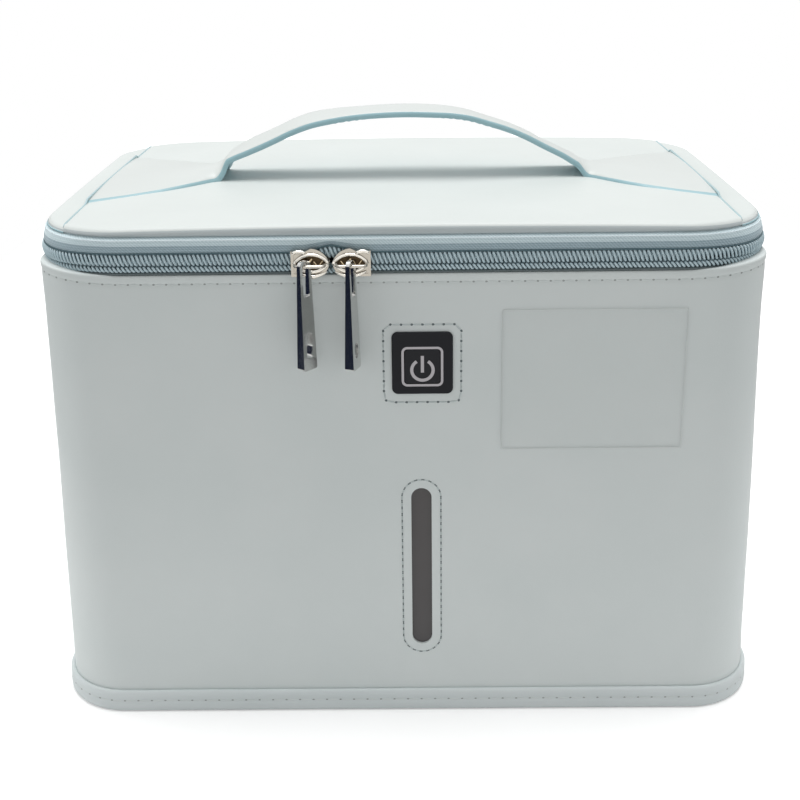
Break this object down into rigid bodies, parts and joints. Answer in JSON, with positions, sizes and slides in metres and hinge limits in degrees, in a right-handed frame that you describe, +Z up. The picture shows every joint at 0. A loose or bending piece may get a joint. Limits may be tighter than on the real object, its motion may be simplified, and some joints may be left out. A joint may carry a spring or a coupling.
{
  "type": "uv sterilizer bag",
  "caption": "Soft-sided zip-around case with ultraviolet lamps in its lid, a window slit and power button in front, and a flat strap handle on top.",
  "frame": {"origin": "middle of the flat underside that the case stands on", "axes": "+X to the right as seen from the front, -Y out of the front wall with its button and window, +Z up"},
  "size_m": [0.312, 0.217, 0.2506],
  "materials": {
    "leather": "satin",
    "foam": "matt",
    "reflective_sheet": "bright",
    "stiff_board": "matt",
    "tinted_sheet": "gloss",
    "white_plastic": "satin",
    "bright_trim": "bright",
    "black_plastic": "satin",
    "circuit_board": "satin",
    "steel": "satin",
    "lead_sheath": "matt",
    "clear_film": "gloss",
    "zip_fabric": "woven",
    "zip_nylon": "satin",
    "clear_sheet": "gloss",
    "lamp_package": "gloss",
    "chrome": "bright",
    "pull_metal": "satin"
  },
  "bodies": {
    "case": {"base_band": "leather", "base_board": "stiff_board", "base_panel": "leather", "board_screws": "steel", "body_core": "foam", "body_leather": "leather", "body_liner": "reflective_sheet", "button_housing": "black_plastic", "button_ring": "bright_trim", "case_lead": "lead_sheath", "control_board": "circuit_board", "control_cover": "white_plastic", "hinge_lead": "lead_sheath", "hinge_strip": "leather", "inlet_nut": "steel", "label_film": "clear_film", "lid_switch": "black_plastic", "power_inlet": "black_plastic", "tactile_switch": "black_plastic", "wall_rivets": "steel", "window_pane": "tinted_sheet", "zip_coil_lower": "zip_nylon", "zip_tape_lower": "zip_fabric"},
    "lid": {"handle_strap": "leather", "lamp_board": "circuit_board", "lamp_housing": "white_plastic", "lamp_lens": "clear_sheet", "lamp_screws": "steel", "lid_board": "stiff_board", "lid_core": "foam", "lid_cover": "leather", "lid_lead": "lead_sheath", "lid_liner": "reflective_sheet", "lid_magnet": "steel", "lid_side_left": "leather", "lid_side_right": "leather", "uv_lamps": "lamp_package", "zip_coil_upper": "zip_nylon", "zip_tape_upper": "zip_fabric"},
    "button": {"power_button": "black_plastic", "switch_plunger": "black_plastic"},
    "slider_left": {"left_slider": "chrome"},
    "slider_right": {"right_slider": "chrome"},
    "pull_left": {"left_pull": "pull_metal"},
    "pull_right": {"right_pull": "pull_metal"}
  },
  "joints": [
    {"name": "lid_hinge", "type": "hinge", "parent": "case", "child": "lid", "pos_m": [0, 0.0984, 0.20765], "axis": [-1, 0, 0], "range_deg": [0, 110], "deforming": ["hinge_strip", "hinge_lead"]},
    {"name": "slider_left_slide", "type": "slide", "parent": "case", "child": "slider_left", "axis": [-1, 0, 0], "range_m": [0, 0.066]},
    {"name": "slider_right_slide", "type": "slide", "parent": "case", "child": "slider_right", "axis": [1, 0, 0], "range_m": [0, 0.124]},
    {"name": "pull_left_swing", "type": "hinge", "parent": "slider_left", "child": "pull_left", "pos_m": [-0.0386, -0.1068, 0.2046], "axis": [-1, 0, 0], "range_deg": [0, 170]},
    {"name": "pull_right_swing", "type": "hinge", "parent": "slider_right", "child": "pull_right", "pos_m": [-0.0203, -0.1068, 0.2046], "axis": [-1, 0, 0], "range_deg": [0, 170]},
    {"name": "power_button_press", "type": "slide", "parent": "case", "child": "button", "axis": [0, 0.9998, -0.0199], "range_m": [0, 0.0008], "stiffness_N_per_m": 600}
  ]
}
